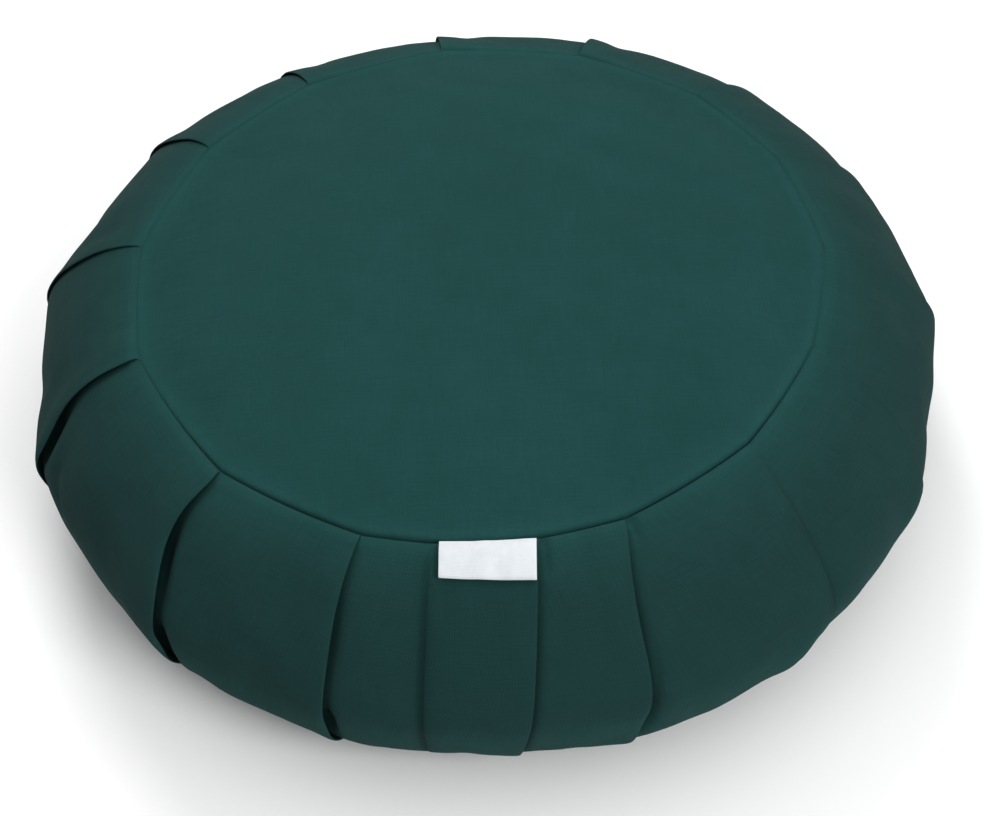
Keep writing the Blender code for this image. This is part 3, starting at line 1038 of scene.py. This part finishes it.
def crease(turn, level, radius, row):
    """A soft trough or swelling along a line between two places: a bell across it, eased at both ends."""
    from_turn, from_level, to_turn, to_level, depth, width = row
    share = (level - from_level) / (to_level - from_level)
    centre = math.radians(from_turn) + np.clip(share, 0.0, 1.0) * math.radians(to_turn - from_turn)
    across = (turn - centre) * radius / (width / 1000.0)
    ends = smooth((share + CREASE_REACH) / CREASE_EASE)
    ends *= smooth((1.0 + CREASE_REACH - share) / CREASE_EASE)
    return -depth / 1000.0 * np.exp(-(across**2)) * ends


move = sum(crease(turn, level, radius, row) for row in CREASE_ROWS)
print(len(CREASE_ROWS), "creases and swellings, the deepest", round(1000.0 * float(-move.min()), 2), "mm")

# %% Puckers and lumps
PUCKER_COUNTS, PUCKER_PHASE = (71, 97, 128), 1.7
PUCKER_HEIGHT, TOP_PUCKER_SHARE = 0.00035, 0.6
PUCKER_START, PUCKER_REACH = 0.003, 0.009
LUMP_WAVES = 14
LUMP_HEIGHT = 0.000225
LUMP_SIZES = (0.0245, 0.056)
LUMP_EASE = (0.02, 0.03)
WALL_SEED, TOP_SEED = 7, 11


def puckers(turn, distance):
    """Small waves round a seam, three counts added together, that die away with distance from it."""
    waves = sum(np.sin(count * (turn + PUCKER_PHASE)) for count in PUCKER_COUNTS) / len(PUCKER_COUNTS)
    return PUCKER_HEIGHT * waves * np.exp(-distance / PUCKER_REACH) * smooth(distance / PUCKER_START)


def lumps(points, seed):
    """Slight lumps of the filling: plane waves of random direction and phase, added together."""
    random = np.random.default_rng(seed)
    heading = random.normal(size=(LUMP_WAVES, 3))
    heading /= np.linalg.norm(heading, axis=1, keepdims=True)
    length = random.uniform(*LUMP_SIZES, LUMP_WAVES)
    phase = random.uniform(0.0, 2.0 * math.pi, LUMP_WAVES)
    waves = np.sin(points @ (heading * 2.0 * math.pi / length[:, None]).T + phase)
    return LUMP_HEIGHT * waves.sum(axis=1) / math.sqrt(LUMP_WAVES / 2.0)


on_top = (radius < TOP_SEAM_RADIUS) & (points[:, 2] > TOP_SEAM_HEIGHT - SEAM_GROOVE)
on_base = points[:, 2] < BASE_SEAM_HEIGHT
on_wall = ~(on_top | on_base)
from_seam = np.minimum(travel, SIDE_LENGTH - travel)
wall_move = move + puckers(turn, from_seam) + lumps(points, WALL_SEED) * smooth(from_seam / LUMP_EASE[0])
from_rim = np.maximum(TOP_SEAM_RADIUS - radius, 0.0)
top_move = TOP_PUCKER_SHARE * puckers(turn, from_rim)
top_move += lumps(points, TOP_SEED) * smooth(from_rim / LUMP_EASE[1])
finished = points + np.where(on_wall, wall_move, 0.0)[:, None] * outward
finished[:, 2] += np.where(on_top, top_move, 0.0)
write_points(cover.data, finished)
print("moved by hand, at most", round(1000.0 * float(np.abs(finished - points).max()), 2), "mm")

# %% [markdown]
# ## Cotton
#
# The cover is a plain-woven dyed cotton, heavy and matt. A picture of cloth would repeat and stretch, so the
# weave is worked out from the cloth's own coordinates in metres: two sets of threads, each a sine across its
# run, and which of them lies on top changes from thread to thread. Slubs, the thicker stretches of a thread,
# are noise drawn out along each thread direction. The dye is never quite even, so soft clouds lighten and
# darken it, and threads lying low in the weave get painted shade. The two numbers on the points say where the
# cloth is pale with wear, where painted shade darkens its folds and seam line, and where painted light and
# shade lighten the top and foot and darken the shoulder and waist. Cotton hardly shines: what little it
# reflects is set low, or its edges would turn grey against a pale room.

# %% Node helpers
def math_node(tree, operation, first, second=0.5, clamp=False):
    """A Math node; each input is a number or another node's output."""
    node = tree.nodes.new("ShaderNodeMath")
    node.operation = operation
    node.use_clamp = clamp
    for socket, value in zip(node.inputs, (first, second)):
        if isinstance(value, (int, float)):
            socket.default_value = value
        else:
            tree.links.new(value, socket)
    return node.outputs[0]


def scaled(tree, vector, scale):
    """The vector scaled by a Mapping node."""
    node = tree.nodes.new("ShaderNodeMapping")
    node.inputs["Scale"].default_value = scale
    tree.links.new(vector, node.inputs["Vector"])
    return node.outputs[0]


def noise(tree, vector, scale, detail=2.0, roughness=0.5):
    """Noise from 0 to 1 at a scale, in repeats per unit of the vector."""
    node = tree.nodes.new("ShaderNodeTexNoise")
    node.inputs["Scale"].default_value = scale
    node.inputs["Detail"].default_value = detail
    node.inputs["Roughness"].default_value = roughness
    tree.links.new(vector, node.inputs["Vector"])
    return node.outputs["Fac"]


def between(tree, value, low, high, to_low, to_high):
    """The value moved from one range to another, and held inside it."""
    node = tree.nodes.new("ShaderNodeMapRange")
    for name, number in (("From Min", low), ("From Max", high), ("To Min", to_low), ("To Max", to_high)):
        node.inputs[name].default_value = number
    tree.links.new(value, node.inputs["Value"])
    return node.outputs["Result"]


def blend_colour(tree, share, first, second):
    """A mix of two colours, each a value or another node's output."""
    node = tree.nodes.new("ShaderNodeMix")
    node.data_type = "RGBA"
    tree.links.new(share, node.inputs["Factor"])
    for socket, value in zip((node.inputs[6], node.inputs[7]), (first, second)):
        if isinstance(value, tuple):
            socket.default_value = value
        else:
            tree.links.new(value, socket)
    return node.outputs[2]


def added(tree, first, *others):
    """The sum of several outputs, by a row of Math nodes."""
    for other in others:
        first = math_node(tree, "ADD", first, other)
    return first


def relief(tree, shader, parts, depth):
    """Adds up heights, each times its share, and sends them times a depth in metres into the normal."""
    height = added(tree, *[math_node(tree, "MULTIPLY", part, share) for part, share in parts])
    node = tree.nodes.new("ShaderNodeBump")
    node.inputs["Distance"].default_value = depth
    tree.links.new(height, node.inputs["Height"])
    tree.links.new(node.outputs["Normal"], shader.inputs["Normal"])


def cloth_place(tree):
    """The cloth's own coordinates in metres."""
    node = tree.nodes.new("ShaderNodeUVMap")
    node.uv_map = "cloth"
    return node.outputs["UV"]


def point_value(tree, name):
    """A number kept on the piece's points."""
    node = tree.nodes.new("ShaderNodeAttribute")
    node.attribute_name = name
    return node.outputs["Fac"]


# %% Threads
THREAD_PITCH = 0.00048
WANDER_SCALE, WANDER = 0.12, 2.0
DIP_FROM, DIP_HEIGHT = 0.6, 0.55


def thread_pair(tree, cloth, pitch):
    """Height of the weft, 0 to 1, and of whichever thread lies on top.

    Each thread is round across: the size of a sine. Along its run it dips under every other cross thread:
    the product of both sines changes sign from one thread to the next. No loom keeps its threads quite
    straight, so noise shifts them by up to a thread either way before the sines are taken.
    """
    wander = tree.nodes.new("ShaderNodeTexNoise")
    wander.inputs["Scale"].default_value = WANDER_SCALE / pitch
    wander.inputs["Detail"].default_value = 2.0
    tree.links.new(cloth, wander.inputs["Vector"])
    shift = tree.nodes.new("ShaderNodeVectorMath")
    shift.operation = "MULTIPLY_ADD"
    shift.inputs[1].default_value = (WANDER * pitch, WANDER * pitch, 0.0)
    tree.links.new(wander.outputs["Color"], shift.inputs[0])
    tree.links.new(cloth, shift.inputs[2])
    turns = scaled(tree, shift.outputs[0], (math.pi / pitch, math.pi / pitch, 1.0))
    split = tree.nodes.new("ShaderNodeSeparateXYZ")
    tree.links.new(turns, split.inputs[0])
    sine_x, sine_y = [math_node(tree, "SINE", split.outputs[axis]) for axis in (0, 1)]
    over = math_node(tree, "MULTIPLY", sine_x, sine_y)
    warp, weft = [math_node(tree, "ABSOLUTE", sine) for sine in (sine_x, sine_y)]
    warp_up = math_node(tree, "MULTIPLY", warp, between(tree, over, -DIP_FROM, DIP_FROM, DIP_HEIGHT, 1.0))
    weft_up = math_node(tree, "MULTIPLY", weft, between(tree, over, -DIP_FROM, DIP_FROM, 1.0, DIP_HEIGHT))
    return weft, math_node(tree, "MAXIMUM", warp_up, weft_up)


# %% Cotton material
DEEP_GREEN = (0.0092, 0.0450, 0.0428, 1.0)
WORN_GREEN = (0.0142, 0.0635, 0.0600, 1.0)
# the same greens darkened with painted shade, for the shoulder and waist of the side
SHADED_SIDE_DEEP_GREEN = (0.0094, 0.0355, 0.0338, 1.0)
SHADED_SIDE_WORN_GREEN = (0.0138, 0.0505, 0.0482, 1.0)
# painted shade in the crease under a fold
FOLD_SHADE_GREEN = (0.0035, 0.0160, 0.0152, 1.0)
WEAVE_DEPTH = 0.00022
THREAD_RELIEF, SLUB_RELIEF, FUZZ_RELIEF = 0.55, 0.55, 0.35
SLUB_STRETCH = (1500.0, 60.0)
FUZZ_SCALE, CLOUD_SCALE, PATCH_SCALE = 5200.0, 16.0, 75.0
CLOUD_SHADE, PATCH_SHADE, SLUB_SHADE, THREAD_SHADE = 0.16, 0.10, 0.15, (-0.15, 0.05)
EVEN_SHADE = 0.42


def cotton_finish(name):
    """Matt woven cotton: threads, slubs and fuzz in the relief, clouds, streaks and wear in the colour, with
    painted shade in the folds, the seam and the weave, and painted light on the top and foot.
    """
    made, tree, shader = node_material(name)
    cloth = cloth_place(tree)
    place = tree.nodes.new("ShaderNodeTexCoord").outputs["Object"]
    _, top_thread = thread_pair(tree, cloth, THREAD_PITCH)
    across, along = SLUB_STRETCH
    warp_slub = noise(tree, scaled(tree, cloth, (across, along, 1.0)), 1.0, 3.0)
    weft_slub = noise(tree, scaled(tree, cloth, (along, across, 1.0)), 1.0, 3.0)
    slub = added(tree, warp_slub, weft_slub)
    fuzz = noise(tree, place, FUZZ_SCALE, 3.0, 0.7)
    clouds = noise(tree, place, CLOUD_SCALE, 4.0, 0.6)
    patches = noise(tree, place, PATCH_SCALE, 3.0, 0.6)

    parts = ((top_thread, THREAD_RELIEF), (slub, SLUB_RELIEF), (fuzz, FUZZ_RELIEF))
    relief(tree, shader, parts, WEAVE_DEPTH)

    rub_and_shade, painted_light = point_value(tree, "rub_and_shade"), point_value(tree, "painted_light")
    # painted light and shade: the second number lightens the top and foot and darkens the shoulder and waist
    deep = blend_colour(tree, painted_light, SHADED_SIDE_DEEP_GREEN, DEEP_GREEN)
    pale = blend_colour(tree, painted_light, SHADED_SIDE_WORN_GREEN, WORN_GREEN)
    shade = added(
        tree,
        between(tree, clouds, 0.30, 0.70, -CLOUD_SHADE, CLOUD_SHADE),
        between(tree, patches, 0.30, 0.70, -PATCH_SHADE, PATCH_SHADE),
        between(tree, slub, 0.75, 1.25, -SLUB_SHADE, SLUB_SHADE),
        # painted shade: threads lying low in the weave are drawn darker
        between(tree, top_thread, 0.2, 1.0, *THREAD_SHADE),
    )
    tone_wear_and_shade = math_node(tree, "MULTIPLY", rub_and_shade, between(tree, fuzz, 0.3, 0.7, 0.35, 1.0))
    tone_wear_and_shade = math_node(tree, "ADD", math_node(tree, "ADD", shade, EVEN_SHADE), tone_wear_and_shade, clamp=True)
    # below 0 the number mixes in painted shade, darker than the cloth
    in_fold = between(tree, rub_and_shade, -1.0, 0.0, 1.0, 0.0)
    colour = blend_colour(tree, in_fold, blend_colour(tree, tone_wear_and_shade, deep, pale), FOLD_SHADE_GREEN)
    tree.links.new(colour, shader.inputs["Base Color"])
    tree.links.new(between(tree, slub, 0.7, 1.3, 0.94, 0.84), shader.inputs["Roughness"])
    shader.inputs["Specular IOR Level"].default_value = 0.04
    shader.inputs["Sheen Weight"].default_value = 0.012
    shader.inputs["Sheen Roughness"].default_value = 0.5
    return made


cover.data.materials.append(cotton_finish("green_cotton"))
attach(cover, "root")
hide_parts("cushion")
print("threads", round(1000.0 * THREAD_PITCH, 2), "mm apart")

# %% [markdown]
# ## The small woven label
#
# A label is a short strip of satin tape, caught in the seam by its upper edge, so it leaves the groove,
# turns over the band's roll and hangs free over the front panel. It is left bare. It could be a flat plate
# laid on the cushion, but it would cut into the curve. So each of its points takes the height of the cover
# under it, a mean of the cover's points weighted by a bell of their distance, and stands off a little more
# the further it hangs. Stiff tape bends less than the cloth, so its upper rows are drawn towards straight.

# %% Label surface
LABEL_PANEL = 7
LABEL_FROM_PLEAT = 0.0037
LABEL_WIDTH = 0.0351
LABEL_DROP = 0.0135
LABEL_STAND_OFF = (0.0022, 0.0025)
LABEL_STRAIGHT = 0.7
LABEL_LEAN = (0.0014, 0.0009)
LABEL_BOW, LABEL_SLANT = -0.0006, 0.0022
LABEL_WAVE, LABEL_WAVES, LABEL_PHASE = 0.00015, 1.3, 0.8
LABEL_ROOT, LABEL_TURN = 0.0034, 0.0003
LABEL_THICKNESS, LABEL_EDGE = 0.0004, 0.0001
LABEL_GRID = (56, 24)
BELL = 0.0022
NEAR_TURN, NEAR_DROP = 0.03, 0.006  # how far beside and below the label the cover is measured
ROLL_END = 0.0030  # nearer to the seam than this the cover turns in, and isn't measured


def cover_height(turn, travel):
    """How far the cover stands off the body near each place: the bell-weighted mean of its points."""
    at_turn, _, at_travel, _, at_radius = side_place(finished)
    near = (at_turn > turn.min() - NEAR_TURN) & (at_turn < turn.max() + NEAR_TURN) & on_wall
    near &= (at_travel > ROLL_END) & (at_travel < travel.max() + NEAR_DROP)
    at_turn, at_travel = at_turn[near], at_travel[near]
    _, body_radius, body_height, outward = on_side(at_travel)
    off = (at_radius[near] - body_radius) * outward[0] + (finished[near, 2] - body_height) * outward[1]
    round_gap = (turn.ravel()[:, None] - at_turn) * TOP_SEAM_RADIUS
    down_gap = travel.ravel()[:, None] - at_travel
    weight = np.exp(-(round_gap**2 + down_gap**2) / BELL**2) + 1e-9
    return ((weight * off).sum(axis=1) / weight.sum(axis=1)).reshape(turn.shape)


def label_points():
    """The label's grid: across from the pleat's line and down from the seam, its lower edge bowed and aslant.

    Its rows crowd towards the seam. It rises out of the groove as a bell of the travel, turns over the
    roll and hangs a little free.
    """
    shares = np.linspace(0.0, 1.0, LABEL_GRID[0]), np.linspace(0.0, 1.0, LABEL_GRID[1]) ** 2.0
    across, down = np.meshgrid(*shares)
    travel = down * (LABEL_DROP + LABEL_BOW * np.sin(math.pi * across) + LABEL_SLANT * across)
    _, radius, height, outward = on_side(travel)
    from_pleat = LABEL_FROM_PLEAT + across * LABEL_WIDTH + down * LABEL_LEAN[0]
    turn = np.radians(PLEATS["seam_deg"][LABEL_PANEL]) + from_pleat / radius
    lift = LABEL_STAND_OFF[0] + (LABEL_STAND_OFF[1] - LABEL_STAND_OFF[0]) * down
    root = LABEL_ROOT * np.exp(-((travel / LABEL_TURN) ** 2))
    wave = LABEL_WAVE * np.sin(2.0 * math.pi * LABEL_WAVES * across + LABEL_PHASE) * down
    off = cover_height(turn, travel) + lift + wave - root - LABEL_LEAN[1] * across * (1.0 - down)
    place = to_world(turn, radius + off * outward[0], height + off * outward[1])
    straight = place[:, :1] + across[..., None] * (place[:, -1:] - place[:, :1])
    return place + LABEL_STRAIGHT * (1.0 - down[..., None]) * (straight - place)


label_place = label_points()

# %% Label piece
label_index = np.arange(LABEL_GRID[0] * LABEL_GRID[1]).reshape(LABEL_GRID[1], LABEL_GRID[0])
label = mesh_piece("label_tape", label_place.reshape(-1, 3), grid_quads(label_index).tolist())
label_across = (label_index % LABEL_GRID[0]) * LABEL_WIDTH / (LABEL_GRID[0] - 1.0)
label_down = (label_index // LABEL_GRID[0]) * LABEL_DROP / (LABEL_GRID[1] - 1.0)
label_flat = np.stack((label_across, -label_down), axis=-1).reshape(-1, 2)
label_corners = label_flat[grid_quads(label_index)]
label.data.uv_layers.new(name="cloth").data.foreach_set("uv", label_corners.ravel())
solid = label.modifiers.new("thickness", "SOLIDIFY")
solid.thickness = LABEL_THICKNESS
solid.offset = 1.0
rounded = label.modifiers.new("edges", "BEVEL")
rounded.width = LABEL_EDGE
rounded.segments = 1
label.data.shade_smooth()
print("label has", len(label.data.polygons), "faces before it is thickened")

# %% [markdown]
# ## Satin
#
# In satin one set of threads floats over the other, so the label shows only their fine ribs, and it reflects
# more than the cotton. Pure white would glare like paper, so it is a little grey, with soft soiled clouds,
# and the low parts of its ribs are darkened with painted shade.

# %% Satin material
SATIN_WHITE = (0.665, 0.695, 0.725, 1.0)
SOILED_AND_SHADED_WHITE = (0.560, 0.595, 0.625, 1.0)
SATIN_PITCH, SATIN_DEPTH = 0.00028, 0.00006
RIB_RELIEF, STREAK_RELIEF = 0.7, 0.4
STREAK_STRETCH = (3500.0, 250.0)
SOIL_SCALE, SOIL_SHADE, RIB_SHADE = 220.0, 0.5, 0.25


def satin_finish(name):
    """Bare white satin tape: fine ribs across, a faint silky streak along, soft soiled clouds, and painted
    shade in the low parts of the ribs.
    """
    made, tree, shader = node_material(name)
    cloth = cloth_place(tree)
    rib, _ = thread_pair(tree, cloth, SATIN_PITCH)
    streak = noise(tree, scaled(tree, cloth, (*STREAK_STRETCH, 1.0)), 1.0, 2.0)
    relief(tree, shader, ((rib, RIB_RELIEF), (streak, STREAK_RELIEF)), SATIN_DEPTH)
    soil = between(tree, noise(tree, cloth, SOIL_SCALE, 3.0, 0.6), 0.35, 0.7, 0.0, SOIL_SHADE)
    # painted shade: the low parts of the ribs are drawn darker, towards the soiled white
    shade = added(tree, soil, between(tree, rib, 0.0, 1.0, RIB_SHADE, 0.0))
    tree.links.new(blend_colour(tree, shade, SATIN_WHITE, SOILED_AND_SHADED_WHITE), shader.inputs["Base Color"])
    tree.links.new(between(tree, streak, 0.3, 0.7, 0.5, 0.66), shader.inputs["Roughness"])
    shader.inputs["Specular IOR Level"].default_value = 0.35
    shader.inputs["Sheen Weight"].default_value = 0.10
    return made


label.data.materials.append(satin_finish("label_satin"))
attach(label, "root")
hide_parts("label")
